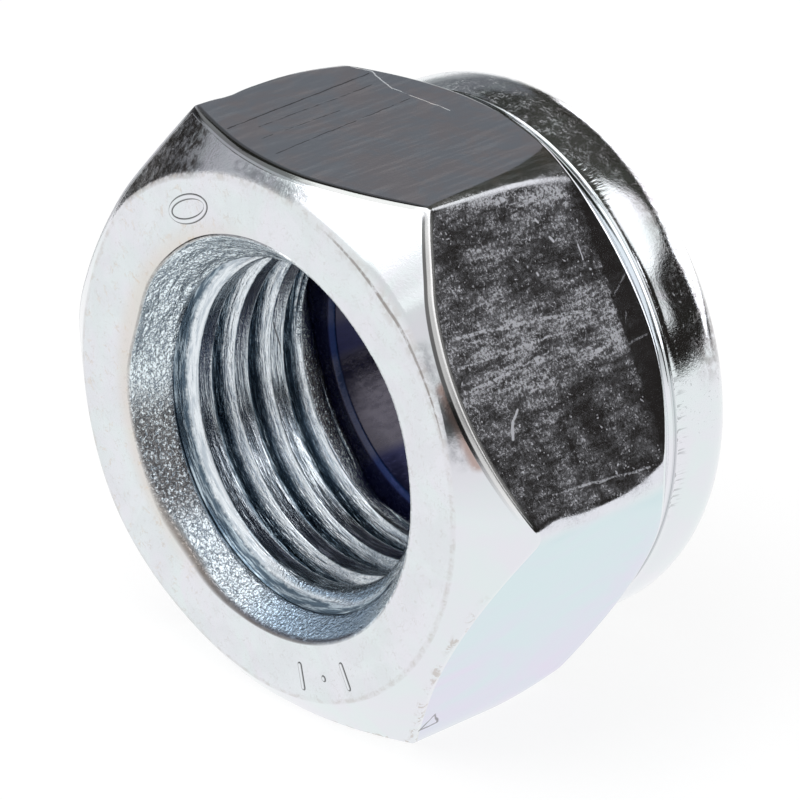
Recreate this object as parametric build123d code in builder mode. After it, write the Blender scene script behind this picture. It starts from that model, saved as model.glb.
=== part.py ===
"""Nylon insert lock nut, M20 x 2.5, low height: a steel hexagon nut whose collar is crimped over a nylon ring.

The nut lies on one of its flats with its axis along +Y. The bearing face looks towards -Y and the collar
towards +Y. The origin is under the middle of the nut, on the surface that the flat rests on.
All sizes are in millimetres. A radius is measured from the nut's axis, and a depth from the bearing face.
"""
import os
from math import radians, tan

from build123d import *

# ---- hexagon ----
ACROSS_FLATS = 30.0
HEIGHT = 20.0                # bearing face to the end of the collar
CORNER_ROUNDING = 0.8        # between two flats
CORNER_RADIUS = 17.2         # turned radius over the corners
BEARING_RADIUS = 14.1        # flat part of the bearing face
FRONT_CHAMFER = 43.0         # degrees to the bearing face
BACK_CHAMFER = 47.0          # degrees to the back face
FLAT_END = 14.4              # depth where the middle of a flat meets the back chamfer

# ---- bore ----
THREAD_RADIUS = 8.75         # over the crests of the internal thread
MOUTH_RADIUS = 10.9          # countersink in the bearing face
MOUTH_DEPTH = 2.8
THREAD_END = 10.4            # depth where the thread runs out
RELIEF_RADIUS = 10.05        # wide end of the relief behind the thread

# ---- collar and ring ----
GROOVE_DEPTH = 14.95         # middle of the shallow V-shaped groove turned behind the hexagon
GROOVE_RADIUS = 14.5         # bottom of the groove
GROOVE_WIDTH = 0.5
COLLAR_RADIUS = 14.8
DOME_RADIUS = 2.8            # the collar's rolled-over edge
LIP_RADIUS = 10.9            # opening of the crimped lip
LIP_ROUNDING = 0.4
SEAT_RADIUS = 12.1           # bore that holds the ring
SEAT_DEPTH = 12.65           # shoulder that the ring sits on
LIP_DEPTH = 18.5             # underside of the lip, where it holds the ring down
CRIMP_ANGLE = 45.0           # slope that the crimp presses into the ring
RING_RADIUS = 8.85           # bore of the ring, smaller than the bolt
RING_CHAMFER = 0.15          # edges of the ring's bore

# ---- derived ----
CHAMFER_RISE = (CORNER_RADIUS - BEARING_RADIUS) * tan(radians(FRONT_CHAMFER))
BACK_SLOPE = tan(radians(BACK_CHAMFER))
BACK_CHAMFER_START = FLAT_END - (CORNER_RADIUS - ACROSS_FLATS / 2) * BACK_SLOPE
GROOVE_START = GROOVE_DEPTH - GROOVE_WIDTH / 2
GROOVE_END = GROOVE_DEPTH + GROOVE_WIDTH / 2
GROOVE_EDGE_RADIUS = ACROSS_FLATS / 2 - (GROOVE_START - FLAT_END) / BACK_SLOPE
DOME_START = HEIGHT - DOME_RADIUS
DOME_TOP_RADIUS = COLLAR_RADIUS - DOME_RADIUS
CRIMP_START = LIP_DEPTH - (SEAT_RADIUS - LIP_RADIUS) * tan(radians(CRIMP_ANGLE))

# ---- where the nut lies ----
FACE_CENTRE = (0, -HEIGHT / 2, ACROSS_FLATS / 2)
NUT_AXIS = Axis(FACE_CENTRE, (0, 1, 0))
BEARING_PLANE = Plane(origin=FACE_CENTRE, x_dir=(1, 0, 0), z_dir=(0, 1, 0))
SECTION_PLANE = Plane(origin=FACE_CENTRE, x_dir=(1, 0, 0), z_dir=(0, 0, 1))   # x is radius, y is depth


# ---- nut body: the turned wall, cut to a hexagon ----
with BuildPart() as nut_body:
    with BuildSketch(SECTION_PLANE):
        with BuildLine():
            Polyline(
                (MOUTH_RADIUS, 0),
                (BEARING_RADIUS, 0),
                (CORNER_RADIUS, CHAMFER_RISE),
                (CORNER_RADIUS, BACK_CHAMFER_START),
                (GROOVE_EDGE_RADIUS, GROOVE_START),
                (GROOVE_RADIUS, GROOVE_DEPTH),
                (COLLAR_RADIUS, GROOVE_END),
                (COLLAR_RADIUS, DOME_START),
            )
            CenterArc((DOME_TOP_RADIUS, DOME_START), DOME_RADIUS, 0, 90)
            Polyline(
                (DOME_TOP_RADIUS, HEIGHT),
                (LIP_RADIUS, HEIGHT),
                (LIP_RADIUS, LIP_DEPTH),
                (SEAT_RADIUS, CRIMP_START),
                (SEAT_RADIUS, SEAT_DEPTH),
                (RELIEF_RADIUS, SEAT_DEPTH),
                (THREAD_RADIUS, THREAD_END),
                (THREAD_RADIUS, MOUTH_DEPTH),
                (MOUTH_RADIUS, 0),
            )
        make_face()
    revolve(axis=NUT_AXIS)
    lip_edge = (
        nut_body.edges()
        .filter_by(GeomType.CIRCLE)
        .group_by(Axis.Y)[-1]
        .sort_by(SortBy.RADIUS)[0]
    )
    fillet(lip_edge, radius=LIP_ROUNDING)
    with BuildSketch(BEARING_PLANE) as hexagon:
        RegularPolygon(radius=ACROSS_FLATS / 2, side_count=6, major_radius=False)
        fillet(hexagon.vertices(), radius=CORNER_ROUNDING)
    extrude(amount=HEIGHT, mode=Mode.INTERSECT)

# ---- nylon ring: fills the seat, under the lip ----
with BuildPart() as nylon_ring:
    with BuildSketch(SECTION_PLANE) as ring_section:
        with BuildLine():
            Polyline(
                (RING_RADIUS, SEAT_DEPTH),
                (SEAT_RADIUS, SEAT_DEPTH),
                (SEAT_RADIUS, CRIMP_START),
                (LIP_RADIUS, LIP_DEPTH),
                (RING_RADIUS, LIP_DEPTH),
                close=True,
            )
        make_face()
        chamfer(ring_section.vertices().group_by(Axis.X)[0], length=RING_CHAMFER)
    revolve(axis=NUT_AXIS)

# ---- export ----
os.makedirs("parts", exist_ok=True)
nut_body.part.label = "nut_body"
nylon_ring.part.label = "nylon_ring"
export_step(nut_body.part, "parts/nut_body.step")
export_step(nylon_ring.part, "parts/nylon_ring.step")
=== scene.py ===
# %% [markdown]
# # A nylon insert lock nut
# This notebook dresses a imported CAD model of an M20 lock nut. The nut lies on one flat, its axis runs
# along +Y, and its bearing face looks towards -Y. The first cell loads that frame.
# %% Load the frame
from math import cos, radians, sin, tan

import bmesh
import bpy
import numpy as np
from mathutils import Matrix, Vector


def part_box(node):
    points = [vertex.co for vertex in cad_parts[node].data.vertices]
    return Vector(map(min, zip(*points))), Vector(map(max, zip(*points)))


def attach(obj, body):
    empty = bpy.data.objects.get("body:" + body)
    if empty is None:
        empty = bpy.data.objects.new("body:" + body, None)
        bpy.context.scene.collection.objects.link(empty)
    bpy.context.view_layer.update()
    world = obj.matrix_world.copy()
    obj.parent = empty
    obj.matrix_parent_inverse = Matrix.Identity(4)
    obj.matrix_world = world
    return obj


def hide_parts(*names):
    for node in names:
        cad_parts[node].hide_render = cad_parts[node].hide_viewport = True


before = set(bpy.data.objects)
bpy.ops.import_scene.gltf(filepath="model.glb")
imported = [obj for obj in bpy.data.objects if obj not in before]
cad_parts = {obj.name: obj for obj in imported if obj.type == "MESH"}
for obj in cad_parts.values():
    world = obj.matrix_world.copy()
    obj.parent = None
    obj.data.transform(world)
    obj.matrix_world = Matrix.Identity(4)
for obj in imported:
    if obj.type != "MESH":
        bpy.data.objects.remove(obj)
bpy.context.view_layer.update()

# %% [markdown]
# ## Sizes
# Turned parts are drawn in millimetres, as a radius from the axis and a depth from the bearing face. What
# the frame knows is read from it, and the rest are the sizes of a low M20 x 2.5 lock nut. Flats and
# bearing face are kept a hair inside the frame, because raised marks stand on the face.
# %% Sizes in millimetres
MM = 0.001
low, high = (np.array(corner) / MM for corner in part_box("nut_body"))
FLAT = (high[2] - low[2]) / 2 - 0.01  # from the axis to a flat
FACE_DEPTH = 0.05  # bearing face, behind the tops of its raised marks
HEIGHT = high[1] - low[1]
AXIS_HEIGHT = (high[2] + low[2]) / 2
FACE_Y = low[1]
THREAD_RADIUS = 8.75  # over the crests of the thread
PITCH = 2.5
COLLAR_RADIUS = 14.8
DOME_RADIUS = 2.6
print("across flats", round(2 * FLAT, 2), "height", round(HEIGHT, 2))

# %% [markdown]
# ## Columns round the nut
# A nut is a turned shape cut by six flats, so one grid fits it: columns are angles round the axis, and
# rows follow the turned outline. The corners need the most columns, so the angles crowd towards them. Each
# column then knows how far out the hexagon reaches at its angle.
# %% Angles and the hexagon
COLUMNS_PER_FLAT = 66
CORNER_CROWDING = 1.5

share = np.linspace(-1, 1, COLUMNS_PER_FLAT, endpoint=False)
from_flat = np.tile(np.radians(30) * np.sign(share) * (1 - (1 - np.abs(share)) ** CORNER_CROWDING), 6)
angle = from_flat + np.radians(30) + np.repeat(np.arange(6) * np.radians(60), COLUMNS_PER_FLAT)
COLUMNS = len(angle)


def hexagon_radius(rounding):
    """Distance from the axis to a hexagon with rounded corners, for each column. On a flat it is half the
    width across flats over the cosine of the angle from the flat's middle. Near a corner it is the far
    side of a circle of the rounding radius, whose centre lies on the corner's line."""
    centre = (FLAT - rounding) / cos(radians(30))
    from_corner = np.radians(30) - np.abs(from_flat)
    round_part = centre * np.cos(from_corner) + np.sqrt(
        np.maximum(rounding**2 - (centre * np.sin(from_corner)) ** 2, 0)
    )
    tangent = np.arctan((FLAT - rounding) * tan(radians(30)) / FLAT)
    return np.where(np.abs(from_flat) < tangent, FLAT / np.cos(from_flat), round_part)


def bump_at(degrees, width):
    """A bell curve of height 1 round the nut: 1 at an angle, and fading within a width in degrees."""
    away = (np.degrees(angle) - degrees + 180) % 360 - 180
    return np.exp(-((away / width) ** 2))


def around(sizes, width):
    """A smooth size round the nut, from sizes at a few angles in degrees. Each column takes a mean of the
    sizes, in which a size counts by a bell curve of how far off it is."""
    weights = np.array([bump_at(degrees, width) for degrees in sizes]) + 1e-9
    return (weights * np.array(list(sizes.values()))[:, None]).sum(axis=0) / weights.sum(axis=0)


print(COLUMNS, "columns, from", round(np.degrees(angle[0])), "to", round(np.degrees(angle[-1])), "degrees")

# %% [markdown]
# The nut is cold forged, and the steel doesn't fill every corner of the die alike. So each of the six
# corners has a rounding of its own in front, and all of them grow rounder towards the collar.
# %% Roundness of the corners
corner = np.round(np.degrees(angle) / 60).astype(int) % 6
FRONT_ROUNDING = np.array([1.2, 0.4, 0.12, 0.8, 0.5, 0.12])[corner]  # at 0, 60, 120 ... degrees
SLOW_GROWTH = np.array([0.0, 0.17, 0.0, 0.1, 0.1, 0.0])[corner]  # for each millimetre of depth
LATE_GROWTH = np.array([2.1, 1.6, 2.7, 2.2, 2.2, 3.0])[corner]  # near the collar
GROWTH_START = 8.0
GROWTH_END = 12.4


def corner_rounding(depth):
    """Rounding radius of the corners at a depth: a front value, a slow growth from 3.5 mm on, and a growth
    with the square of the way from GROWTH_START to GROWTH_END. Two corners have a shallow dent."""
    late = np.clip((depth - GROWTH_START) / (GROWTH_END - GROWTH_START), 0, 1)
    dent = 0.55 * np.exp(-(((depth - 5.2) / 0.8) ** 2)) * bump_at(120, 20)
    dent = dent + 0.7 * np.exp(-(((depth - 4.6) / 1.0) ** 2)) * bump_at(0, 20)
    return FRONT_ROUNDING + SLOW_GROWTH * np.maximum(depth - 3.5, 0) + LATE_GROWTH * late**2 + dent


front_hexagon = hexagon_radius(FRONT_ROUNDING)
back_hexagon = hexagon_radius(corner_rounding(GROWTH_END - 0.1))
print("over the corners", round(front_hexagon.max(), 2), "in front,", round(back_hexagon.max(), 2), "behind")

# %% [markdown]
# ## Paths with soft corners
# Real edges are never sharp: a plated edge catches the light as a thin line. Every outline here is a chain
# of corner points, each swapped for a short curve of a set width. A corner point may hold one number, or
# one for each column. Each row also gets the number of the run it lies on, so that every surface can be
# told apart.
# %% Path helpers
def spaced(count):
    """Numbers from 0 to 1: the mean of even steps and of steps that crowd towards both ends."""
    t = np.linspace(0, 1, count + 1)
    return t / 2 + (1 - np.cos(np.pi * t)) / 4


def soft_path(points, softness, counts, curve_steps=3):
    """Rows of (radius, depth) along a chain of corner points for every column at once, and their run
    numbers. A straight run is a blend of its two ends. Each inner corner becomes a quadratic Bezier curve
    between the points that lie its softness before and after it, and its run numbers go from one run's to
    the next's."""
    points = [np.stack(np.broadcast_arrays(p[0], p[1], angle)[:2]).astype(float) for p in points]
    rows, runs, start = [], [], points[0]
    for i, count in enumerate(counts):
        corner_point, last = points[i + 1], i == len(counts) - 1
        ahead = corner_point - points[i]
        end = corner_point if last else corner_point - ahead / np.linalg.norm(ahead, axis=0) * softness[i]
        rows.append(start + (end - start) * spaced(count)[:, None, None])
        runs.append(np.full(count + 1, float(i)))
        if not last:
            after = points[i + 2] - corner_point
            start = corner_point + after / np.linalg.norm(after, axis=0) * softness[i]
            t = np.linspace(0, 1, curve_steps + 1)[1:-1]
            u = t[:, None, None]
            rows.append((1 - u) ** 2 * end + 2 * u * (1 - u) * corner_point + u**2 * start)
            runs.append(i + t)
    return np.concatenate(rows), np.concatenate(runs)


print("steps of a run of four", np.round(spaced(4), 2).tolist())

# %% [markdown]
# ## Mouth of the bore
# The bore opens in a steep countersink. Its edge was pressed and isn't quite round, so its radius wanders
# by a few tenths of a millimetre, and deeper down it settles to a true cone.
# %% Countersink
CONE_RADIUS = 10.9
CONE_SLOPE = 0.774  # radius lost for each millimetre of depth
CLIMB_START = 1.1  # depth where the thread's own rows begin

mouth = 10.86 + 0.12 * np.cos(angle - radians(20)) + 0.22 * bump_at(32, 16)
mouth = mouth - 0.4 * bump_at(163, 14) - 0.3 * bump_at(235, 10) - 0.1 * bump_at(135, 12)


def mouth_cone(depth):
    """Radius of the countersink: a cone, and the edge's own wandering, which dies out with the depth."""
    return CONE_RADIUS - CONE_SLOPE * depth + (mouth - CONE_RADIUS) * np.exp(-depth / 0.6)


mouth_depths = np.array([0.9, 0.72, 0.56, 0.42])[:, None]
mouth_rows = np.stack([mouth_cone(mouth_depths), mouth_depths + 0 * angle], axis=1)
print("mouth radius", round(mouth.min(), 2), "to", round(mouth.max(), 2))

# %% [markdown]
# ## Outside of the nut
# The outline starts in the countersink, crosses the bearing face, climbs the front chamfer, runs along the
# flat and goes down the back chamfer into a shallow neck. The chamfers are cones, so their borders on the
# flats are curves, deepest at the corners. The cutters ran a little uneven, so slopes and edges are given
# at a few angles round the nut.
# %% Bearing face and chamfers
face_edge = around({0: 14.05, 30: 14.05, 66: 13.91, 90: 14.02, 108: 14.05, 124: 14.3, 137: 14.5, 148: 14.35,
                    160: 14.26, 176: 14.36, 190: 14.34, 205: 14.36, 218: 14.38, 230: 14.18, 241: 13.95,
                    255: 13.92, 275: 14.0, 300: 14.05, 330: 14.05}, width=9)
front_slope = around({0: 0.93, 40: 0.93, 80: 0.94, 105: 0.96, 122: 0.97, 150: 0.74, 172: 0.77, 200: 0.82,
                      240: 0.9, 268: 0.88, 287: 0.72, 300: 0.82, 315: 0.93}, width=10)
plain_end = {degrees: 14.3 for degrees in range(90, 360, 30)}
flat_end = around({0: 14.3, 20: 14.3, 34: 14.08, 55: 14.1, 75: 14.25, **plain_end}, width=10)
plain_slope = {degrees: 1.07 for degrees in range(100, 330, 30)}
back_slope = around({0: 1.2, 20: 1.18, 45: 0.86, 62: 0.86, 80: 1.0, **plain_slope, 335: 1.1}, width=11)
front_depth = (front_hexagon - face_edge) * front_slope
back_depth = flat_end - (back_hexagon - FLAT) * back_slope
edge_width = 0.2 + 0.4 * bump_at(48, 20) + 0.15 * bump_at(90, 25)
mouth_softness = 0.12 + 0.34 * bump_at(234, 20)
print("the front chamfer is", round(front_depth.min(), 2), "to", round(front_depth.max(), 2), "deep")

# %% [markdown]
# On one flat the chamfering tool pushed up a bead: a round ridge along the front edge, with a narrow
# trough before it. One share, from 0 to 1 round the nut, moves the corner points from the plain edge to
# the ridge. The neck has two fine turned grooves.
# %% Front edges, flats and neck
bead = np.interp(np.degrees(angle), [3, 9, 16, 24, 54, 59, 61], [0, 0.3, 0.7, 1, 1, 0.9, 0])
EDGE_BACK = 0.32  # where the chamfer ends and its edge begins
NECK = [(14.75, 14.44), (14.64, 14.8), (14.665, 14.84), (14.54, 15.14), (14.6, 15.2)]
outside, outside_run = soft_path(
    [
        (mouth_cone(0.36), 0.36),
        (mouth, FACE_DEPTH),
        (face_edge, FACE_DEPTH),
        (front_hexagon - EDGE_BACK, front_depth - EDGE_BACK * front_slope),
        (front_hexagon - 0.2, front_depth - 0.2 * front_slope + 0.035 * bead),
        (front_hexagon + 0.055 * bead, front_depth + 0.03 * bead),
        (front_hexagon, front_depth + 0.26),
        (back_hexagon, back_depth),
        *NECK,
        (COLLAR_RADIUS, 16.4),
        (COLLAR_RADIUS, HEIGHT - DOME_RADIUS),
    ],
    [mouth_softness, edge_width, 0.02, 0.03, 0.1, 0.06, 0.16, 0.05, 0.02, 0.02, 0.03, 0.03, 0.55],
    [1, 6, 8, 1, 1, 1, 17, 4, 1, 1, 1, 1, 3, 2],
)
FLATS_RUN = 6  # the run along the flats
on_flats = outside_run == FLATS_RUN
depth_here = outside[on_flats, 1]
way = (depth_here - depth_here[0]) / (depth_here[-1] - depth_here[0])
forged = hexagon_radius(corner_rounding(depth_here))
outside[on_flats, 0] += forged - (1 - way) * forged[0] - way * forged[-1]
print("outside rows", len(outside))

# %% [markdown]
# ## Collar
# The collar is a tube that was rolled over the nylon ring: a quarter circle in section, ending in a blunt
# lip that presses on the ring. The roll leans a little to one side, as pressed edges do. Inside, the seat
# holds the ring, and a relief cone leads back to the thread.
# %% Dome, lip and seat
DOME_ROWS = 13
RELIEF_START = 10.4
SEAT_DEPTH = 12.65
CLIMB_END = 12.6  # depth where the thread's own rows end
relief_rim = 10.05 + 0.75 * bump_at(172, 16) + 0.5 * bump_at(240, 9)

turn = np.linspace(0, np.pi / 2, DOME_ROWS + 1)[1:-1, None] + 0 * angle
dome_radius = COLLAR_RADIUS - DOME_RADIUS * (1 - np.cos(turn))
dome = np.stack([dome_radius, HEIGHT - DOME_RADIUS * (1 - np.sin(turn))], axis=1)
inner, _ = soft_path(
    [(COLLAR_RADIUS - DOME_RADIUS, HEIGHT), (10.9, HEIGHT), (10.9, 18.5), (12.1, 17.3), (12.1, SEAT_DEPTH),
     (relief_rim, SEAT_DEPTH), (relief_rim - 0.03, CLIMB_END)],
    [0.35, 0.15, 0.1, 0.1, 0.02],
    [2, 2, 2, 2, 2, 1],
)
print("collar rows", len(dome) + len(inner))

# %% [markdown]
# ## Thread
# The thread climbs 2.5 mm in each turn. If its rows kept one depth, its edges would cross them and show as
# steps, so the rows climb with it, and stop at two fixed depths. After one turn a row meets the row one
# pitch further on, and there the seam is joined.
# %% Rows that climb with the thread
GROOVE = 1.55  # width of the thread's groove between two crests
GROOVE_HEIGHT = 1.17
CREST_EDGE = 1.49  # depth of a crest's far edge, at the crest's angle
CREST_ANGLE = radians(210)

# one turn's rows, in millimetres from the crest's edge: they crowd where the groove bends
in_turn = np.array([0, 0.04, 0.1, 0.3, 0.5, 0.62, 0.7, 0.775, 0.85, 0.93, 1.05, 1.25, 1.44, 1.51,
                    1.555, 1.61, 1.75, 2.0, 2.25, 2.42])
ROWS_PER_TURN = len(in_turn)
edge_depth = CREST_EDGE - PITCH * (angle - CREST_ANGLE) / (2 * np.pi)
turns = np.arange(-2, int(HEIGHT / PITCH) + 2)
offsets = (in_turn + PITCH * turns[:, None]).ravel()
first = np.argmax(offsets + edge_depth[0] > CLIMB_START) - 1
last = np.argmax(offsets + edge_depth[0] - PITCH > CLIMB_END)
offsets = offsets[first : last + 1]
climb = np.clip(offsets[:, None] + edge_depth, CLIMB_START, CLIMB_END)
along = (climb - edge_depth) % PITCH
print("thread rows", len(climb))

# %% [markdown]
# The wall of the bore is the widest of four simple shapes: the cylinder over the crests, the cone of the
# mouth, the cone of the relief, and the thread's groove. A plain maximum would leave a sharp crease where
# two of them meet, so a smooth maximum rounds each crease by a set amount.
# %% Wall of the bore
def smooth_max(a, b, rounding):
    """The larger of two heights, with the crease rounded: half of their sum and of the length of their
    difference, where the length is measured together with the rounding, as a hypotenuse."""
    return (a + b + np.sqrt((a - b) ** 2 + rounding**2)) / 2


def groove_height(distance):
    """Height of the groove's wall above the crests, at a distance along the axis from a crest's far edge.
    Both walls rise 60 degrees from the crest, and the root between them is the smooth minimum of the walls
    and a fixed height."""
    wall = np.minimum(distance, GROOVE - distance) / tan(radians(30))
    rounded = -smooth_max(-wall, -GROOVE_HEIGHT, rounding=0.1)
    return np.where(distance < GROOVE, rounded, -1)


def plain_bore(depth):
    """Radius of the bore without its thread: crests, mouth cone or relief cone, whichever is widest."""
    way_in = (depth - RELIEF_START) / (SEAT_DEPTH - RELIEF_START)
    relief_cone = THREAD_RADIUS + way_in * (relief_rim - THREAD_RADIUS)
    return smooth_max(smooth_max(mouth_cone(depth), THREAD_RADIUS, rounding=0.1), relief_cone, rounding=0.08)


plain = plain_bore(climb)
grooved = THREAD_RADIUS + groove_height(along)
thread = smooth_max(plain, grooved, rounding=0.06)
print("thread radius from", round(thread.min(), 2), "to", round(thread.max(), 2))

# %% [markdown]
# ## One closed skin
# All rows follow each other in a ring: out of the mouth, over the outside, into the collar, and back up
# the thread. Faces join each row and each column to the next. Rows that stopped at the same depth lie on
# top of each other, so merging doubled vertices closes the skin everywhere.
# %% Grid to mesh
MERGED_WITHIN = 2e-6  # metres


def in_frame(aside, depth, up):
    """Points in metres, from millimetres aside and up from the axis and a depth from the bearing face."""
    return np.stack(np.broadcast_arrays(aside, FACE_Y + depth, AXIS_HEIGHT + up), axis=-1) * MM


def in_place(radius, depth, aside=0, lowered=0):
    """Points for a radius and a depth: the angle gives the place round the axis, which may lie a little
    aside or lower."""
    return in_frame(radius * np.cos(angle) + aside, depth, radius * np.sin(angle) - lowered)


def skin(name, points, seam_row=None, marks=None, joined_ends=True):
    """A closed mesh over a grid of points, shaped (rows, columns, 3). Its last row joins its first;
    without joined ends both are single points. At the seam each row is joined to the row that seam_row
    gives for it. The marks are named numbers for each point, kept on the mesh for its material."""
    rows, columns = points.shape[:2]
    number = np.arange(rows * columns).reshape(rows, columns)
    seam_row = np.arange(rows) if seam_row is None else seam_row
    number = np.concatenate([number, number[seam_row, :1]], axis=1)
    if joined_ends:
        number = np.concatenate([number, number[:1]])
    quads = [number[:-1, :-1], number[1:, :-1], number[1:, 1:], number[:-1, 1:]]
    quads = np.stack(quads, axis=-1).reshape(-1, 4)
    mesh = bpy.data.meshes.new(name)
    mesh.from_pydata(points.reshape(-1, 3), [], quads)
    for mark, value in (marks or {}).items():
        layer = mesh.attributes.new(mark, "FLOAT", "POINT")
        layer.data.foreach_set("value", np.broadcast_to(value, (rows, columns)).astype(np.float32).ravel())
    shell = bmesh.new()
    shell.from_mesh(mesh)
    bmesh.ops.remove_doubles(shell, verts=shell.verts, dist=MERGED_WITHIN)
    open_edges = sum(not edge.is_manifold for edge in shell.edges)
    volume = shell.calc_volume(signed=True) / MM**3
    triangles = sum(len(face.verts) - 2 for face in shell.faces)
    shell.to_mesh(mesh)
    shell.free()
    mesh.shade_smooth()
    piece = bpy.data.objects.new(name, mesh)
    bpy.context.scene.collection.objects.link(piece)
    print(name, triangles, "triangles, volume", round(volume), "mm3, open edges", open_edges)
    return piece


# %% [markdown]
# Each surface has its own finish, so every point keeps marks between 0 and 1: how much it belongs to the
# rough cones of the bore, to the crests, to the thread's walls, and so on to the collar. Inside a soft
# edge the marks blend from one surface to the next.
# %% Marks for the surfaces
def on_run(first_run, last_run):
    """1 for the outside's rows between two run numbers, and fading to 0 within one run before and after."""
    return np.clip(1 - np.maximum(first_run - outside_run, outside_run - last_run), 0, 1)


before = np.zeros(len(mouth_rows))
after = np.zeros(len(dome) + len(inner) - 1)
in_cone = np.clip((plain - THREAD_RADIUS - 0.08) / 0.12, 0, 1)  # 1 where the bore is 0.2 wider
in_groove = np.clip((grooved - plain) / 0.06, 0, 1)


def mark(outside_values=0, mouth_value=0, collar_value=0, thread_values=0):
    """One mark for the whole grid: numbers for the outside's rows, one number for the mouth's rows, one
    for the rows of dome, lip and seat, and the thread's own grid."""
    outside_values = outside_values + 0 * outside_run
    plain_values = np.concatenate([before + mouth_value, outside_values[1:], after + collar_value])
    return np.concatenate([plain_values[:, None] + 0 * angle, (thread_values + 0 * climb)[::-1]])


marks = {
    "rough_cone": mark(on_run(0, 0), mouth_value=1, thread_values=in_cone * (1 - in_groove)),
    "thread_crest": mark(thread_values=(1 - in_cone) * (1 - in_groove)),
    "thread_wall": mark(thread_values=in_groove),
    "bearing_face": mark(on_run(1, 1)),
    "front_chamfer": mark(on_run(2, 2)),
    "shaded_trough": mark(on_run(2.8, 3.5)) * bead,
    "front_edge": mark(on_run(3.7, 5)),
    "neck": mark(on_run(7, 8.7)),
    "crease": mark(on_run(10.4, 10.8)),
    "flat_surface": mark(np.clip(4 * on_run(FLATS_RUN, FLATS_RUN) - 3, 0, 1)),
    "collar_wall": mark(on_run(12, 13), collar_value=1),
}
print(len(marks), "marks")

# %% [markdown]
# The rows are put in order. At the seam each row meets itself, except that a row of the thread meets the
# one a pitch away. The collar leans: its rows are shifted a little aside and down.
# %% Assemble the nut body
plain_rows = np.concatenate([mouth_rows, outside[1:], dome, inner[:-1]])
radius_grid = np.concatenate([plain_rows[:, 0], thread[::-1]])
depth_grid = np.concatenate([plain_rows[:, 1], climb[::-1]])
plain_count = len(plain_rows)
seam_row = np.arange(len(radius_grid))
thread_partner = np.maximum(np.arange(len(climb)) - ROWS_PER_TURN, 0)
seam_row[plain_count:] = plain_count + (len(climb) - 1 - thread_partner)[::-1]

LEAN_ASIDE = -0.15
LEAN_DOWN = 0.03
COLLAR_START = len(mouth_rows) + len(outside) - 9  # first row of the collar's wall
COLLAR_END = plain_count - 9  # first row at the shoulder of the seat
row_number = np.arange(len(radius_grid))[:, None]
is_collar = (row_number >= COLLAR_START) & (row_number < COLLAR_END)
lean = is_collar * np.clip((depth_grid - NECK[3][1]) / 0.3, 0, 1)
nut_points = in_place(radius_grid, depth_grid, LEAN_ASIDE * lean, LEAN_DOWN * lean)
nut = skin("threaded_nut", nut_points, seam_row, marks)
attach(nut, "root")
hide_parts("nut_body")

# %% [markdown]
# ## Nylon ring
# The ring fills its seat. Its section is drawn with the same helpers as the nut's: a bore with a soft
# front edge, a flat front face that shows behind the last thread, and a back that follows the crimped lip.
# %% Ring
RING_RADIUS = 8.85
ring_rows, ring_run = soft_path(
    [(RING_RADIUS, 15.5), (RING_RADIUS, 12.95), (9.15, 12.66), (12.08, 12.66), (12.08, 17.28),
     (10.88, 18.49), (9.05, 18.49), (RING_RADIUS, 18.3), (RING_RADIUS, 15.5)],
    [0.1, 0.1, 0.1, 0.1, 0.1, 0.08, 0.08],
    [2, 2, 1, 1, 1, 1, 1, 1],
    curve_steps=4,
)
# where the ring's front edge is thin; the nylon there gets a painted glow
thin_edge_glow = np.clip(1 - np.abs(ring_run - 0.85) / 0.5, 0, 1)[:-1, None]
ring = skin("insert_ring", in_place(ring_rows[:-1, 0], ring_rows[:-1, 1]), marks={"thin_edge_glow": thin_edge_glow})
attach(ring, "root")
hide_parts("nylon_ring")

# %% [markdown]
# ## Raised marks
# The punch that forms the bearing face leaves low raised marks, here plain ones that name no maker: an
# oval, and two bars with a dot between them. A bar is a flattened sphere, pulled apart at its middle, and
# the oval a ring with a flattened section. All are sunk, so that only their tops show.
# %% Marks on the bearing face
MARK_WIDTH = 0.2
MARK_HEIGHT = 0.1


def on_face(degrees, outward, sideways, height):
    """Points on the bearing face: outward from the axis in a direction, sideways of that direction, and at
    a height above the frame's face."""
    c, s = cos(radians(degrees)), sin(radians(degrees))
    return in_frame(outward * c - sideways * s, -height, outward * s + sideways * c)


def raised_bar(name, radius, degrees, half_length):
    """A rounded bar that points at the axis. Rows go from one of its tips to the other, and their halves
    are moved apart by the half length."""
    polar = np.linspace(0, np.pi, 16)[:, None]
    round_bar = np.linspace(0, 2 * np.pi, 16, endpoint=False)
    outward = radius - MARK_WIDTH * np.cos(polar) + np.sign(polar - np.pi / 2) * half_length
    sideways = MARK_WIDTH * np.sin(polar) * np.cos(round_bar)
    height = MARK_HEIGHT * (np.sin(polar) * np.sin(round_bar) - 1)
    points = on_face(degrees, outward, sideways, height)
    return skin(name, points, marks={"raised": 1.0}, joined_ends=False)


def raised_oval(name, radius, degrees, half_length, half_width):
    """An oval ring whose long way runs round the axis."""
    section = np.linspace(0, 2 * np.pi, 16, endpoint=False)[:, None]
    way_round = np.linspace(0, 2 * np.pi, 80, endpoint=False)
    widened = MARK_WIDTH * np.cos(section)
    outward = radius + (half_width + widened) * np.cos(way_round)
    sideways = (half_length + widened) * np.sin(way_round)
    height = MARK_HEIGHT * (np.sin(section) - 1) + 0 * way_round
    return skin(name, on_face(degrees, outward, sideways, height), marks={"raised": 1.0})


raised_marks = [
    raised_oval("raised_oval", 12.45, 118, 1.5, 0.62),
    raised_bar("raised_bar_left", 12.75, 283.5, 0.62),
    raised_bar("raised_bar_right", 12.75, 299.5, 0.62),
    raised_bar("raised_dot", 12.75, 291.5, 0.02),
]
for raised in raised_marks:
    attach(raised, "root")

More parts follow.
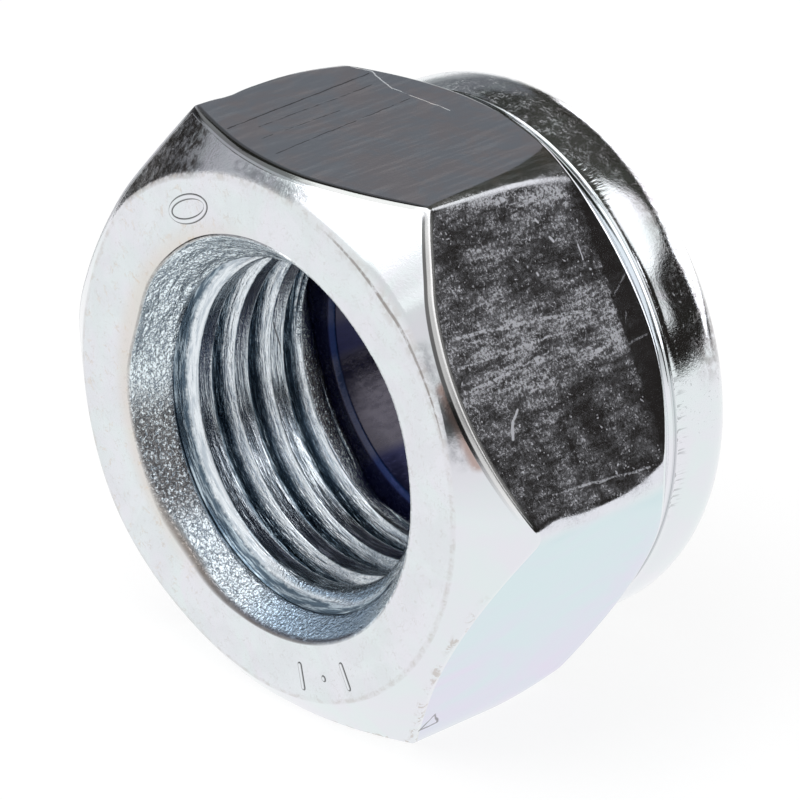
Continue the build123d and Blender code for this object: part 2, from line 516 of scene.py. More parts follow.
# %% [markdown]
# ## Writing materials in code
# A material is a graph of nodes, kept in its node tree. The variable tree holds the one that is being
# written. Most of these helpers add one node to it, and hand back the socket that the next step needs.
# %% Node helpers
def new_material(name):
    """A material and its principled shader. From here on its node tree is the one that is written."""
    global tree
    material = bpy.data.materials.new(name)
    material.use_nodes = True
    tree = material.node_tree
    return material, tree.nodes["Principled BSDF"]


def wire(made, inputs):
    """Fills inputs of a node, by name or number. A socket is linked, and a number or a colour is set."""
    for key, value in inputs.items():
        if isinstance(value, bpy.types.NodeSocket):
            tree.links.new(value, made.inputs[key])
        elif made.inputs[key].type == "RGBA":
            made.inputs[key].default_value = (*value, 1)
        else:
            made.inputs[key].default_value = value


def node(kind, inputs=None, **settings):
    """Adds a node with its settings and inputs."""
    made = tree.nodes.new("ShaderNode" + kind)
    for key, value in settings.items():
        setattr(made, key, value)
    wire(made, inputs or {})
    return made


def calc(operation, *values):
    """A Math node on one to three values."""
    return node("Math", dict(enumerate(values)), operation=operation).outputs[0]


def vector_calc(operation, *values, scale=None, result=0):
    """A Vector Math node. The result is its vector, or with result=1 its number."""
    inputs = dict(enumerate(values))
    if scale is not None:
        inputs["Scale"] = scale
    return node("VectorMath", inputs, operation=operation).outputs[result]


def noise(vector, scale, detail=2.0, roughness=0.5, distortion=0.0, w=None):
    """Smooth random numbers from 0 to 1, mostly near 0.5. With w the noise has a fourth coordinate."""
    inputs = {"Vector": vector, "Scale": scale, "Detail": detail, "Roughness": roughness,
              "Distortion": distortion}
    if w is not None:
        inputs["W"] = w
    return node("TexNoise", inputs, noise_dimensions="3D" if w is None else "4D").outputs[0]


# %% [markdown]
# Most of a finish is masks: numbers from 0 to 1 that say where something is. The next helpers cut a mask
# out of a noise, multiply masks, add them up with weights, and lay colours over each other through them.
# %% Mask and colour helpers
def step(value, low_end, high_end, low_value=0.0, high_value=1.0):
    """Goes smoothly from one value to another while the input goes from its low end to its high end."""
    inputs = {0: value, 1: low_end, 2: high_end, 3: low_value, 4: high_value}
    return node("MapRange", inputs, interpolation_type="SMOOTHSTEP").outputs[0]


def product(*values):
    """All values multiplied."""
    result = values[0]
    for value in values[1:]:
        result = calc("MULTIPLY", result, value)
    return result


def layered(start, table):
    """A sum: it begins with a value, and each row of the table adds a mask times its weight."""
    for mask, weight in table:
        start = calc("MULTIPLY_ADD", mask, weight, start)
    return start


def blend(factor, first, second):
    """Mixes two colours."""
    return node("Mix", {0: factor, 6: first, 7: second}, data_type="RGBA").outputs[2]


def overlaid(colour, table):
    """A colour with others laid over it in turn. Each row is a mask, a strength and a colour."""
    for mask, strength, layer in table:
        colour = blend(calc("MULTIPLY", mask, strength), colour, layer)
    return colour


def mark_on(name):
    """The value of one of the marks that the mesh carries."""
    return node("Attribute", attribute_name=name).outputs["Fac"]


# %% [markdown]
# ## Zinc plating
# Bright zinc mirrors its room, so most of its look comes from the shape and the studio. What the material
# adds is how the surface differs from place to place: a milky film from tumbling with other nuts, coarse
# grain where the steel was punched, fine draw lines, and stains. All patterns are drawn in millimetres
# from the nut's axis and from its bearing face.
# %% Coordinates and marks
def places():
    """A place in millimetres, the direction outwards from the axis there, and the distance from the axis."""
    object_place = node("TexCoord").outputs["Object"]
    place = vector_calc("MULTIPLY_ADD", object_place, (1 / MM,) * 3, (0, -FACE_Y, -AXIS_HEIGHT))
    from_axis = vector_calc("MULTIPLY", place, (1, 0, 1))
    return place, vector_calc("NORMALIZE", from_axis), vector_calc("LENGTH", from_axis, result=1)


zinc, shader = new_material("zinc_plating")
for plated in [nut, *raised_marks]:
    plated.data.materials.append(zinc)

place, outwards, radius = places()
_, depth, above_axis = node("SeparateXYZ", {0: place}).outputs
(rough_cone, thread_crest, thread_wall, bearing_face, front_chamfer, shaded_trough, front_edge, neck, crease,
 flat_surface, collar_wall) = (mark_on(name) for name in marks)
bore = calc("ADD", calc("ADD", rough_cone, thread_crest), thread_wall)
print("marks read:", *marks)


# %% [markdown]
# Finishes differ from one side of the nut to another, and scratches have a place of their own. Two masks
# say where: one picks a direction round the axis, and one draws a stroke between two points of the
# surface.
# %% Masks for a side and for a stroke
WANDER = 0.24  # how far noise moves a stroke, from side to side


def facing(degrees, start, full):
    """1 where the surface lies near an angle round the axis: it rises from 0 at start degrees away to 1 at
    full degrees away. It goes by the cosine between that side's direction and the direction outwards."""
    way = (cos(radians(degrees)), 0, sin(radians(degrees)))
    along_way = vector_calc("DOT_PRODUCT", outwards, way, result=1)
    return step(along_way, cos(radians(start)), cos(radians(full)))


unsteady = node("TexNoise", {"Vector": place, "Scale": 1.1, "Detail": 3.0}).outputs["Color"]
drawn_place = vector_calc("MULTIPLY_ADD", unsteady, (WANDER,) * 3, place)
drawn_place = vector_calc("SUBTRACT", drawn_place, (WANDER / 2,) * 3)


def stroke(start, end, width, core=0.4):
    """1 on the stroke between two points and 0 from its width on. The nearest point of the stroke lies as
    far along it as the way from its start reaches in its direction, held between 0 and its length. Noise
    shifts the place a little, so that strokes are as unsteady as real scratches."""
    length = (Vector(end) - Vector(start)).length
    direction = tuple((Vector(end) - Vector(start)) / length)
    way = vector_calc("SUBTRACT", drawn_place, start)
    reach = vector_calc("DOT_PRODUCT", way, direction, result=1)
    reach = calc("MINIMUM", calc("MAXIMUM", reach, 0.0), length)
    nearest = vector_calc("SCALE", direction, scale=reach)
    away = vector_calc("DISTANCE", way, nearest, result=1)
    return step(away, width, width * core)


def strokes(table):
    """Several strokes in one mask: each is a start, an end and a width."""
    mask = stroke(*table[0])
    for row in table[1:]:
        mask = calc("MAXIMUM", mask, stroke(*row))
    return mask


# %% [markdown]
# Draw lines and tool marks run round the axis on turned surfaces. Noise gets that direction when its
# coordinates change slowly round the nut and quickly along its depth. The direction outwards is a unit
# vector, so it has no seam, and the radius is the noise's fourth coordinate. Lines along the axis are made
# the other way: quick changes sideways, slow ones along the depth.
# %% Directions of the patterns
def drawn_out(share):
    """The place with its depth scaled: below 1, a noise on it is drawn out along the axis."""
    return vector_calc("MULTIPLY", place, (1, share, 1))


depth_only = vector_calc("MULTIPLY", place, (0, 6, 0))
turned_place = vector_calc("ADD", vector_calc("SCALE", outwards, scale=6.0), depth_only)
lines_around = noise(turned_place, 1.0, 3.0, 0.6, w=calc("MULTIPLY", radius, 6.0))
ridges_around = noise(vector_calc("SCALE", outwards, scale=5.0), 1.0, 3.0, 0.6, 0.5,
                      w=calc("MULTIPLY", radius, 2.2))
lines_along = noise(drawn_out(0.07), 3.2, 4.0, 0.65)
hairs = noise(drawn_out(0.08), 7.0, 1.0, 0.5)
fringe = noise(drawn_out(0.1), 4.5, 2.0, 0.6)
short_lines = noise(drawn_out(0.22), 2.6, 5.0, 0.7)
print("nodes", len(tree.nodes))

# %% [markdown]
# ### Noise of three sizes
# The masks that follow share a few noises: clouds some millimetres wide, blots of about one millimetre,
# and grain as fine as the plating's crystals. Wrinkles follow the lines where a noise is exactly halfway.
# %% Shared noises
clouds = noise(place, 0.42, 4.0, 0.6, 0.6)
blots = noise(place, 1.5, 5.0, 0.68, 0.4)
grain = noise(place, 6.5, 3.0, 0.7)
specks = step(noise(place, 5.5, 1.0, 0.4), 0.68, 0.75)
halfway = noise(drawn_out(1.5), 2.9, 2.0, 0.55, 0.6)
wrinkles = step(calc("ABSOLUTE", calc("SUBTRACT", halfway, 0.5)), 0.045, 0.0)
print("nodes", len(tree.nodes))

# %% [markdown]
# ### Film on the worn flat
# One flat rubbed against others and lost its shine. It has a cloudy band across its middle, a weaker one
# below, bright nicks and faint lines. Near the neck the film ends in a step, and only thin scratches cross
# the dark strip behind it. The last three nicks are one bent bright scratch on the top flat.
# %% Places on the worn flat
worn_flat = calc("MULTIPLY", facing(30, 31.5, 28), flat_surface)
rubbed = step(calc("MULTIPLY_ADD", blots, 0.9, depth), 13.0, 12.75, 0.09, 1.0)
cloudy_band = stroke((12.1, 1.5, 8.9), (12.4, 11.6, 8.4), 2.1, 0.1)
low_band = stroke((13.4, 1.2, 6.6), (13.2, 11.0, 6.9), 1.6, 0.1)
rim_band = stroke((8.6, 4.6, 15.0), (9.6, 11.4, 13.6), 0.8, 0.0)
step_cloud = stroke((12.35, 12.0, 8.55), (13.5, 11.95, 6.5), 0.75, 0.0)
nicks = strokes([
    ((9.05, 7.7, 14.3), (9.1, 7.9, 14.2), 0.09),
    ((9.15, 8.9, 14.1), (9.2, 9.1, 14.0), 0.08),
    ((9.8, 9.4, 12.95), (9.9, 9.5, 12.8), 0.08),
    ((10.35, 9.85, 12.0), (10.5, 10.05, 11.8), 0.1),
    ((11.1, 8.35, 10.8), (11.12, 8.4, 10.7), 0.08),
    ((14.1, 4.32, 5.58), (14.25, 3.9, 5.25), 0.09),
    ((14.3, 3.8, 5.2), (14.7, 3.4, 4.5), 0.12),
    ((13.4, 2.8, 6.95), (13.6, 2.95, 6.5), 0.07),
    ((10.8, 11.5, 11.3), (11.2, 11.46, 10.6), 0.06),
    ((-7.51, 12.28, 15), (-6.0, 12.8, 15), 0.06),
    ((-6.0, 12.8, 15), (-3.67, 12.06, 15), 0.06),
    ((-3.67, 12.06, 15), (0.39, 12.35, 15), 0.05),
])
faint_lines = strokes([
    ((16.38, 4.65, 1.63), (16.66, 11.16, 1.13), 0.09),
    ((11.9, 2.2, 9.4), (12.4, 10.9, 8.5), 0.13),
    ((12.6, 1.6, 8.1), (12.7, 8.8, 8.0), 0.09),
    ((13.2, 1.3, 7.0), (13.0, 7.4, 7.4), 0.1),
])
strip_lines = strokes([
    ((12.34, 12.48, 8.59), (11.87, 13.8, 9.4), 0.08),
    ((12.79, 12.99, 7.8), (13.25, 12.56, 7.0), 0.06),
    ((13.59, 12.32, 6.42), (13.52, 13.8, 6.54), 0.09),
    ((13.9, 12.4, 5.9), (14.6, 12.1, 4.7), 0.05),
])
print("nodes", len(tree.nodes))

# %% [markdown]
# The film is a haze drawn out along the axis. Clouds and bands say how thick it is, and short lines,
# wrinkles and grain are multiplied into it, so that each breaks up the others. Specks and scratches come
# on top.
# %% Film on the worn flat
hazy = layered(step(clouds, 0.36, 0.66, 0.08, 0.75), [
    (calc("MAXIMUM", cloudy_band, low_band), 0.6),
    (rim_band, 1.2),
    (step_cloud, 0.7),
])
wrinkled = step(wrinkles, 0.2, 0.9, 0.05, 0.6)
weave = calc("ADD", step(short_lines, 0.36, 0.7, 0.05, 1.0), wrinkled)
haze = layered(product(hazy, weave, step(grain, 0.3, 0.72, 0.2, 1.7)), [
    (product(specks, step(blots, 0.38, 0.56)), 1.1),
    (product(faint_lines, step(grain, 0.33, 0.58)), 0.66),
])
worn_film = calc("MULTIPLY_ADD", product(worn_flat, rubbed), haze, product(nicks, 1.3))
strip_marks = product(strip_lines, step(grain, 0.35, 0.6), 0.5)
worn_film = calc("MAXIMUM", worn_film, strip_marks)
print("nodes", len(tree.nodes))

# %% [markdown]
# ### Film elsewhere
# The other surfaces keep most of their shine. The film is thin on the left chamfer and on the draw lines
# of the top flat, thick on the left front edge, weaker on the bead, and speckled on the collar. It makes
# the surface rougher and less of a mirror.
# %% Film elsewhere
left_chamfer = product(front_chamfer, facing(112, 40, 14))
chamfer_film = product(left_chamfer, step(blots, 0.46, 0.7), step(fringe, 0.4, 0.65))
line_film = product(flat_surface, step(lines_along, 0.45, 0.7), facing(90, 34, 28))
left_edge = product(front_edge, facing(162, 43, 38))
bead_film_and_highlight = product(front_edge, facing(32, 30, 24))
dome_place = calc("MAXIMUM", step(depth, 16.4, 17.4), facing(84, 26, 16))
dome_film = product(collar_wall, dome_place, step(depth, 19.2, 18.4), facing(66, 58, 44),
                    step(blots, 0.42, 0.6, 0.05, 1.0), step(grain, 0.44, 0.6, 0.05, 1.0))
film = layered(worn_film, [
    (chamfer_film, 0.25),
    (line_film, 0.14),
    (left_edge, 1.4),
    (bead_film_and_highlight, 0.45),
    (dome_film, 0.6),
    (product(collar_wall, facing(18, 20, 12), specks), 0.6),
])
film = calc("MINIMUM", film, 1.4)
metallic = calc("MAXIMUM", layered(1.0, [(film, -0.55)]), 0.2)
wire(shader, {"Metallic": metallic, "Roughness": layered(0.1, [(film, 0.25), (bore, 0.05)])})
print("nodes", len(tree.nodes))

# %% [markdown]
# ### Colour
# Fresh zinc is slightly blue, and the clear passivation shifts it a little towards green or pink from
# place to place. One low flat shows that shift best, and the worn flat and the top one have tones of their
# own.
# %% Colour outside
tints = noise(drawn_out(0.6), 0.32, 3.0, 0.6, 0.8)
lilac = calc("MULTIPLY_ADD", above_axis, -0.05, calc("MULTIPLY", tints, 1.6))
pastel = blend(step(lilac, 0.8, 1.9), (0.63, 0.76, 0.79), (0.72, 0.68, 0.82))
top_side = facing(90, 31, 28)
clouded = blend(step(clouds, 0.38, 0.62), (0.76, 0.80, 0.84), (0.84, 0.785, 0.78))
metal = blend(step(tints, 0.3, 0.7), (0.76, 0.82, 0.83), (0.79, 0.79, 0.84))
metal = overlaid(metal, [
    (product(facing(330, 31, 27), flat_surface), 1, pastel),
    (worn_flat, 1, (0.75, 0.76, 0.82)),
    (product(flat_surface, top_side), 1, clouded),
])
print("nodes", len(tree.nodes))

# %% [markdown]
# The roots of the thread are painted dark: painted shade deep in the groove, where light rarely gets out
# again. Walls and crests are streaked round the axis, and the crests are darker away from the upper left,
# which is painted shade too. The mouth's cone is pale, bluer towards the bottom, and dark in its wrinkles.
# %% Colour in the bore
root_depth = calc("MULTIPLY_ADD", short_lines, 0.5, radius)
in_root = product(thread_wall, step(root_depth, 9.45, 9.7))
wall_metal = blend(step(lines_around, 0.42, 0.66), (0.80, 0.85, 0.89), (0.50, 0.56, 0.62))
# painted shade: the thread's roots are coloured dark
shaded_root_colour = blend(step(lines_around, 0.46, 0.62), (0.10, 0.145, 0.19), (0.42, 0.50, 0.56))
# painted shade: crests away from the upper left are coloured darker
shaded_crest_colour = blend(facing(150, 65, 25), (0.17, 0.205, 0.235), (0.42, 0.48, 0.53))
crest_metal = blend(step(lines_around, 0.44, 0.64), shaded_crest_colour, (0.68, 0.74, 0.78))
cone_metal = blend(facing(235, 45, 15), (0.88, 0.96, 1.0), (0.60, 0.66, 0.71))
cone_metal = blend(facing(292, 38, 14), cone_metal, (0.47, 0.60, 0.74))
metal = overlaid(metal, [
    (thread_wall, 1, blend(in_root, wall_metal, shaded_root_colour)),
    (thread_crest, 1, crest_metal),
    (rough_cone, 1, blend(wrinkles, cone_metal, (0.37, 0.44, 0.51))),
])
print("nodes", len(tree.nodes))

# %% [markdown]
# ### Stains and painted light
# Handling and storing stained the plating. Each stain is a mask, broken up by the blots, and they are laid
# over the metal in turn, together with a few layers of painted light and shade. The first are on the chamfer
# and its edges: grey smudges and soot at the left, a painted dark reflection along the top flat's front
# edge, a painted white highlight on the bead, a painted shadow in the trough before it, a brown streak
# beside the bead, and painted shade in the neck and its crease.
# %% Stains, painted shade and a painted highlight on the chamfer and its edges
smudge_places = strokes([
    ((11.3, 0.4, 8.8), (14.0, 0.6, 4.2), 0.95, 0.1),
    ((-2.6, 0.5, 14.4), (2.4, 0.4, 14.2), 0.5),
    ((-8.9, 0.6, 12.2), (-5.4, 0.2, 13.3), 0.7),
])
smudges = product(front_chamfer, smudge_places, step(blots, 0.3, 0.7))
sooty = step(short_lines, 0.42, 0.62, 0.97, 0.3)
brown_place = stroke((12.7, 0.6, 7.3), (14.7, 1.05, 3.9), 0.6, 0.25)
brown_streak = product(front_chamfer, brown_place, step(blots, 0.2, 0.45, 0.3, 1.0))
shaded_neck = product(neck, facing(62, 50, 34))
metal = overlaid(metal, [
    (smudges, 0.6, (0.15, 0.16, 0.18)),
    (product(front_chamfer, facing(125, 14, 10), sooty), 1, (0.07, 0.06, 0.055)),
    # painted reflection: a dark line along the top flat's front edge
    (product(front_edge, top_side), 0.7, (0.11, 0.11, 0.09)),
    # painted highlight: the bead is coloured white
    (bead_film_and_highlight, 1, (1.0, 1.0, 1.0)),
    # painted shadow in the trough before the bead
    (shaded_trough, 0.9, (0.03, 0.028, 0.026)),
    (brown_streak, 0.85, (0.42, 0.30, 0.265)),
    (calc("MAXIMUM", shaded_neck, calc("MULTIPLY", crease, 0.5)), 0.85, (0.20, 0.23, 0.245)),
])
print("nodes", len(tree.nodes))

# %% [markdown]
# The bearing face is worn along its two rims: a brown line outside, and dirt and soot round the mouth, whose
# rim is also darkened on its lower side by painted shade. The face itself is clouded grey, and warm where
# the zinc is thin. A rim is where the marks of two surfaces blend: their product, times four, is 1 in the
# middle of the blend.
# %% Stains and painted shade on the bearing face
rim = product(front_chamfer, bearing_face, 4.0)
thin_rim = product(step(rim, 0.955, 1.0), facing(46, 28, 18), step(blots, 0.36, 0.5, 0.15, 0.75))
# dirt broken up by the blots, and painted shade on the lower side of the mouth's rim
rim_dirt_and_shade = calc("MAXIMUM", step(blots, 0.35, 0.55, 0.0, 0.4), facing(255, 50, 20))
mouth_soot = product(rough_cone, step(depth, 0.38, 0.16), facing(281, 38, 24),
                     step(blots, 0.3, 0.5, 0.55, 0.9))
edge_flecks = product(front_edge, facing(315, 36, 20), step(blots, 0.5, 0.6, 0.0, 0.55))
around_mouth = product(bearing_face, step(radius, 12.0, 10.9), facing(170, 85, 40))
worn_face = product(bearing_face, step(blots, 0.56, 0.66), facing(175, 85, 55))
metal = overlaid(metal, [
    (product(rim, step(blots, 0.42, 0.62, 0.1, 0.5)), 1, (0.52, 0.48, 0.45)),
    (thin_rim, 1, (0.20, 0.17, 0.15)),
    (product(rough_cone, bearing_face, 4.0, rim_dirt_and_shade), 1, (0.20, 0.18, 0.17)),
    (mouth_soot, 1, (0.105, 0.10, 0.115)),
    (edge_flecks, 1, (0.48, 0.41, 0.36)),
    (product(bearing_face, step(clouds, 0.35, 0.65, 0.0, 0.3)), 1, (0.66, 0.69, 0.71)),
    (layered(0.0, [(around_mouth, 0.5), (worn_face, 0.45)]), 1, (0.72, 0.64, 0.56)),
])
print("nodes", len(tree.nodes))

# %% [markdown]
# The last layers: a dark patch low in the countersink, crackle on the bearing face, painted shade at the
# foot of the raised marks, a brown bloom on the rolled edge, and dark hairs that the roller left beside the
# neck.
# %% Stains in the mouth and on the collar
dark_patch = product(rough_cone, facing(207, 26, 8), step(grain, 0.37, 0.52))
rolled_edge = product(collar_wall, step(depth, 16.6, 17.8), step(blots, 0.36, 0.6), facing(54, 45, 34))
dark_hairs = product(collar_wall, step(depth, 16.2, 15.1), facing(4, 24, 14), step(hairs, 0.54, 0.66))
metal = overlaid(metal, [
    (dark_patch, 0.85, (0.085, 0.07, 0.065)),
    (product(bearing_face, wrinkles, step(blots, 0.45, 0.62)), 0.3, (0.52, 0.50, 0.47)),
    # painted shade round the foot of each raised mark
    (product(mark_on("raised"), step(depth, 0.004, 0.024)), 0.9, (0.09, 0.09, 0.09)),
    (rolled_edge, 0.65, (0.22, 0.19, 0.175)),
    (dark_hairs, 0.6, (0.2, 0.21, 0.22)),
])
print("nodes", len(tree.nodes))

# %% [markdown]
# A few scratches are dark instead of bright: long ones on the top flat, cut along the axis, a bent crack
# in the thread, and a triangular nick low on the front edge.
# %% Dark scratches
dark_scratches = strokes([
    ((-5.3, 2.2, 15), (-5.9, 12.5, 15), 0.075),
    ((-4.4, 3.6, 15), (-4.65, 11.6, 15), 0.05),
    ((-3.2, 2.6, 15), (-3.27, 8.1, 15), 0.04),
    ((-1.34, 2.0, 15), (-2.07, 11.8, 15), 0.045),
    ((-8.7, 8.43, 0.99), (-8.74, 8.97, -0.53), 0.07),
    ((-8.74, 8.97, -0.53), (-8.15, 8.81, -3.2), 0.06),
    ((9.3, 2.5, -13.85), (9.86, 3.05, -12.85), 0.11),
    ((9.86, 3.05, -12.85), (9.33, 3.67, -13.8), 0.1),
    ((9.33, 3.67, -13.8), (9.3, 2.5, -13.85), 0.09),
])
metal = overlaid(metal, [(dark_scratches, 0.75, (0.08, 0.075, 0.075))])
wire(shader, {"Base Color": metal})
print("nodes", len(tree.nodes))

# %% [markdown]
# ### Grain, draw lines and tool marks
# Small heights in millimetres go into a Bump node, whose distance is set to one millimetre. The punched
# cones are coarse like sand, wrinkled, and ridged round the axis in their upper part. The thread has lines
# round the axis, the flats have lines along it, and the tool that rolled the collar left a fringe of them
# beside the neck.
# %% Heights
def normal_of(height):
    """The surface's normal, tilted as heights in millimetres would tilt it."""
    return node("Bump", {"Strength": 1.0, "Distance": MM, "Height": height}).outputs[0]


sand = noise(place, 6.0, 2.0, 0.55)
near_neck = product(collar_wall, step(depth, 16.2, 15.4), facing(68, 20, 12))
upper_cone = product(rough_cone, facing(125, 60, 30))
height = layered(0.0, [
    (product(sand, rough_cone), 0.115),
    (product(wrinkles, rough_cone), -0.03),
    (product(ridges_around, upper_cone), 0.65),
    (product(grain, collar_wall), 0.004),
    (product(lines_around, bore), 0.045),
    (product(grain, bore), 0.015),
    (product(lines_along, flat_surface), 0.004),
    (product(fringe, near_neck), 0.05),
    (product(grain, left_chamfer), 0.02),
    (grain, 0.0025),
])
wire(shader, {"Normal": normal_of(height)})
print("nodes", len(tree.nodes))

# %% [markdown]
# ## Nylon
# The ring is dark blue nylon, moulded smooth and a little translucent. Its thin front edge is painted a
# brighter blue: a painted glow that stands in for light coming out of the nylon where it is thin. The mark
# kept on the mesh says where. What it mirrors is blue too, and at two places round the axis its reflections
# are painted greyer. Fine rub marks soften it.
# %% Nylon
nylon, shader = new_material("blue_nylon")
ring.data.materials.append(nylon)
place, outwards, _ = places()
rub = noise(drawn_out(0.4), 3.0, 4.0, 0.65)
# painted reflection: the tint greys the ring's reflections at two sides round the axis
greyed_sheen = calc("MAXIMUM", facing(214, 21, 15), calc("MULTIPLY", facing(164, 22, 16), 0.6))
wire(shader, {
    # painted glow: the thin front edge is coloured a brighter blue
    "Base Color": blend(mark_on("thin_edge_glow"), (0.006, 0.007, 0.036), (0.02, 0.06, 0.18)),
    "Specular Tint": blend(greyed_sheen, (0.22, 0.24, 0.72), (0.95, 0.88, 1.0)),
    "IOR": 1.53,
    "Roughness": step(rub, 0.35, 0.7, 0.16, 0.34),
    "Normal": normal_of(calc("MULTIPLY", rub, 0.008)),
})
print("nodes", len(tree.nodes))

# %% [markdown]
# ## Camera
# The camera looks down on the bearing face and on two flats through a long lens, as for a catalogue, so
# that the shape hardly tapers. Its matrix is built from three directions at right angles.
# %% Camera
CAMERA_PLACE = (0.2054969, -0.192598, 0.1513762)
FOCAL_LENGTH = 6021.9  # in pixels
PICTURE_WIDTH = 800  # in pixels
SENSOR_WIDTH = 36  # in millimetres
right = Vector((0.67837, 0.734614, 0.012513)).normalized()
forward = Vector((-0.656698, 0.613881, -0.438061)).normalized()
up = right.cross(forward).normalized()

scene = bpy.context.scene
camera_data = bpy.data.cameras.new("catalogue_camera")
camera_data.sensor_width = SENSOR_WIDTH
camera_data.lens = FOCAL_LENGTH / PICTURE_WIDTH * SENSOR_WIDTH
camera_data.clip_start = 0.02
camera_data.clip_end = 5
camera = bpy.data.objects.new("catalogue_camera", camera_data)
scene.collection.objects.link(camera)
turned = Matrix([[right[i], up[i], -forward[i]] for i in range(3)]).to_4x4()
camera.matrix_world = Matrix.Translation(CAMERA_PLACE) @ turned
scene.camera = camera
print("lens", round(camera_data.lens), "mm")

# %% [markdown]
# ## Studio
# A mirror-like nut is lit by what it mirrors. The room is white: the camera and mirrored rays see it plain
# white, and rough surfaces get a share of its light, because a lamp does the rest.
# %% World
WHITE = (1, 1, 1)
ROOM_LIGHT = 0.55  # for rough surfaces

world = bpy.data.worlds.new("white_room")
scene.world = world
world.use_nodes = True


def rays_that_see():
    """Two masks: one of the camera's rays and of mirrored and transmitted ones, and one of mirrored rays."""
    path = node("LightPath")
    seen = calc("MAXIMUM", path.outputs["Is Camera Ray"], path.outputs["Is Glossy Ray"])
    return calc("MAXIMUM", seen, path.outputs["Is Transmission Ray"]), path.outputs["Is Glossy Ray"]


tree = world.node_tree
seen, _ = rays_that_see()
wire(tree.nodes["Background"], {"Color": WHITE, "Strength": step(seen, 0.0, 1.0, ROOM_LIGHT, 1.0)})
print("room light", ROOM_LIGHT)

# %% [markdown]
# Dark and grey cards stand round the nut where its flats, chamfer and collar look, two lie on the floor,
# and a small bright one stands close behind. A card glows in its own colour, and is seen only in
# reflections. A large one overhead is the softbox.
# %% Sheets and cards
CARD_STEPS = 24


def glow(colour, strength):
    """A shader that gives off a colour evenly."""
    return node("Emission", {"Color": colour, "Strength": strength}).outputs[0]


def stage_sheet(name, corners, quads, colour=None):
    """A sheet of the stage. With a colour it glows, and only mirrored rays see it."""
    mesh = bpy.data.meshes.new(name)
    mesh.from_pydata(corners, [], quads)
    sheet = bpy.data.objects.new(name, mesh)
    scene.collection.objects.link(sheet)
    if colour is not None:
        for rays in ("camera", "diffuse", "shadow", "transmission", "volume_scatter"):
            setattr(sheet, "visible_" + rays, False)
        material, shader = new_material(name)
        tree.nodes.remove(shader)
        wire(tree.nodes["Material Output"], {"Surface": glow(colour, 1.0)})
        mesh.materials.append(material)
    return sheet


def curved_card(name, azimuths, edges, colour):
    """A card round the nut, between two azimuths in degrees. Each of its two curved edges is an arc of a
    circle, given by its radius and its height in metres."""
    way = np.radians(np.linspace(*azimuths, CARD_STEPS))
    arcs = [np.stack([r * np.cos(way), r * np.sin(way), 0 * way + height], axis=1) for r, height in edges]
    quads = [(i, i + 1, CARD_STEPS + i + 1, CARD_STEPS + i) for i in range(CARD_STEPS - 1)]
    stage_sheet(name, np.concatenate(arcs), quads, colour)


def level_sheet(name, x_ends, y_ends, height, colour=None):
    """A level rectangle between two places along X and two along Y."""
    corners = [(x_ends[i], y_ends[j], height) for i, j in ((0, 0), (1, 0), (1, 1), (0, 1))]
    return stage_sheet(name, corners, [(0, 1, 2, 3)], colour)


# %% [markdown]
# A standing card is given by its azimuths and the elevations of its edges in degrees, as they are seen
# from the floor under the nut, and by its distance in metres.
# %% Cards
BLACK = (0.02, 0.018, 0.016)
OLIVE = (0.05, 0.05, 0.042)
DARK_OLIVE = (0.035, 0.035, 0.03)
CHARCOAL = (0.03, 0.03, 0.03)

standing_cards = [
    ("black_card", (28, 72), (1, 35), 0.80, BLACK),
    ("black_card_side", (-48, 28), (1, 18), 0.80, BLACK),
    ("olive_card", (72, 130), (1, 47), 0.79, OLIVE),
    ("olive_card_top", (70, 130), (44, 68), 0.34, OLIVE),
    ("grey_card_low", (130, 150), (1, 10), 0.80, (0.38, 0.39, 0.40)),
    ("grey_card", (130, 150), (10, 31), 0.80, (0.165, 0.17, 0.185)),
    ("dark_card_top", (130, 198), (31, 47), 0.79, DARK_OLIVE),
    ("dark_card_high", (130, 198), (44, 64), 0.37, DARK_OLIVE),
    ("dark_left_card", (150, 190), (1, 18), 0.80, CHARCOAL),
    ("grey_left_card", (190, 197), (1, 32), 0.80, (0.45, 0.455, 0.48)),
    ("pale_left_card", (150, 232), (14, 48), 0.81, (0.5, 0.51, 0.53)),
    ("small_front_card", (-62, -48), (1, 16), 0.80, (0.12, 0.12, 0.12)),
]
for name, azimuths, elevations, distance, colour in standing_cards:
    curved_card(name, azimuths, [(distance, distance * tan(radians(e))) for e in elevations], colour)
ON_FLOOR = 0.0005
curved_card("dark_floor_left", (174, 190), [(0.12, ON_FLOOR), (0.8, ON_FLOOR)], CHARCOAL)
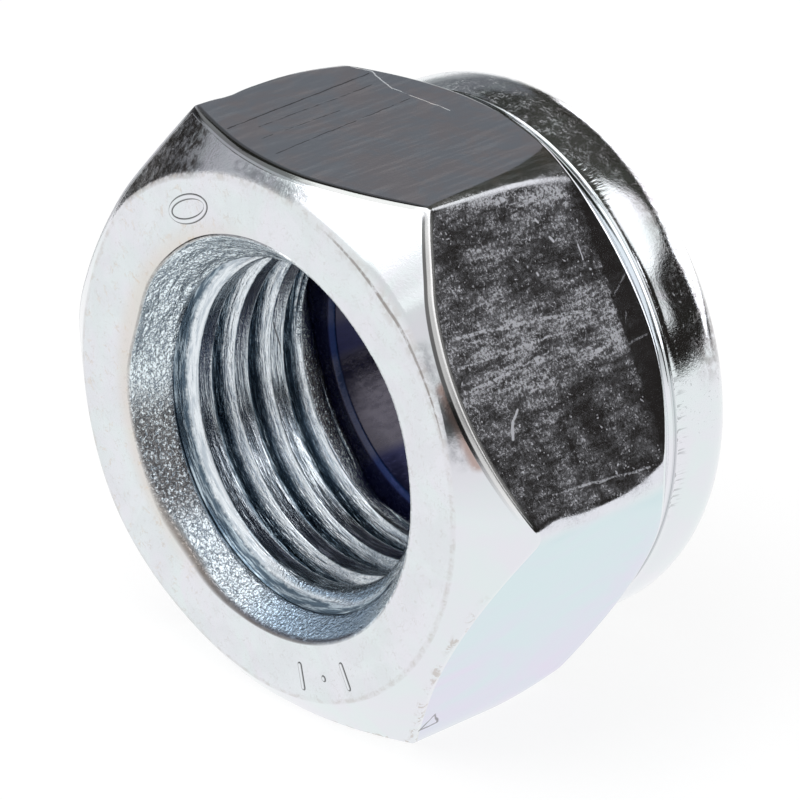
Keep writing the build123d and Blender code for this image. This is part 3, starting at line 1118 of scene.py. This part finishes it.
curved_card("dark_floor_behind", (76, 124), [(0.11, ON_FLOOR), (0.8, ON_FLOOR)], (0.03, 0.028, 0.026))
behind = [(-0.010, 0.025, 0.019), (0.020, 0.025, 0.019), (0.020, 0.025, 0.0335), (-0.010, 0.025, 0.0335)]
stage_sheet("small_card_behind", behind, [(0, 1, 2, 3)], (2.5, 2.5, 2.6))
level_sheet("softbox", (-0.9, 1.17), (-1.17, 0.783), 0.9, (1.35, 1.35, 1.35))
print("cards", len(standing_cards) + 4)

# %% [markdown]
# The floor is white paper. The camera sees mostly its own even white, so it stays as white as the room,
# and a smaller share is lit, which keeps a soft shadow under the nut. Mirrored rays see it plain white.
# %% Floor
FLOOR_SIZE = 3  # from its middle to a side, in metres
EVEN_WHITE = 0.8  # the share of its white that needs no light

floor = level_sheet("floor", (-FLOOR_SIZE, FLOOR_SIZE), (-FLOOR_SIZE, FLOOR_SIZE), 0)
paper, shader = new_material("white_paper")
tree.nodes.remove(shader)
seen, mirrored = rays_that_see()
lit = node("BsdfDiffuse", {"Color": (0.3, 0.3, 0.3)}).outputs[0]
both = node("AddShader", {0: lit, 1: glow(WHITE, calc("MULTIPLY", seen, EVEN_WHITE))}).outputs[0]
either = node("MixShader", {0: mirrored, 1: both, 2: glow(WHITE, 1.0)}).outputs[0]
wire(tree.nodes["Material Output"], {"Surface": either})
floor.data.materials.append(paper)
print("floor", 2 * FLOOR_SIZE, "m wide")

# %% [markdown]
# ## Lamp
# One soft lamp from the front left and above adds the light that rough spots and the floor need.
# %% Lamp
lamp_data = bpy.data.lights.new("soft_lamp", "AREA")
lamp_data.size = 0.5
lamp_data.energy = 1.2
lamp = bpy.data.objects.new("soft_lamp", lamp_data)
scene.collection.objects.link(lamp)
lamp.location = (-0.1, -0.25, 0.6)
nut_middle = Vector((0, 0, AXIS_HEIGHT * MM))
lamp.rotation_euler = (nut_middle - lamp.location).to_track_quat("-Z", "Y").to_euler()
scene.view_settings.view_transform = "Standard"
print("lamp", lamp_data.energy, "W, at", round((nut_middle - lamp.location).length, 2), "m")
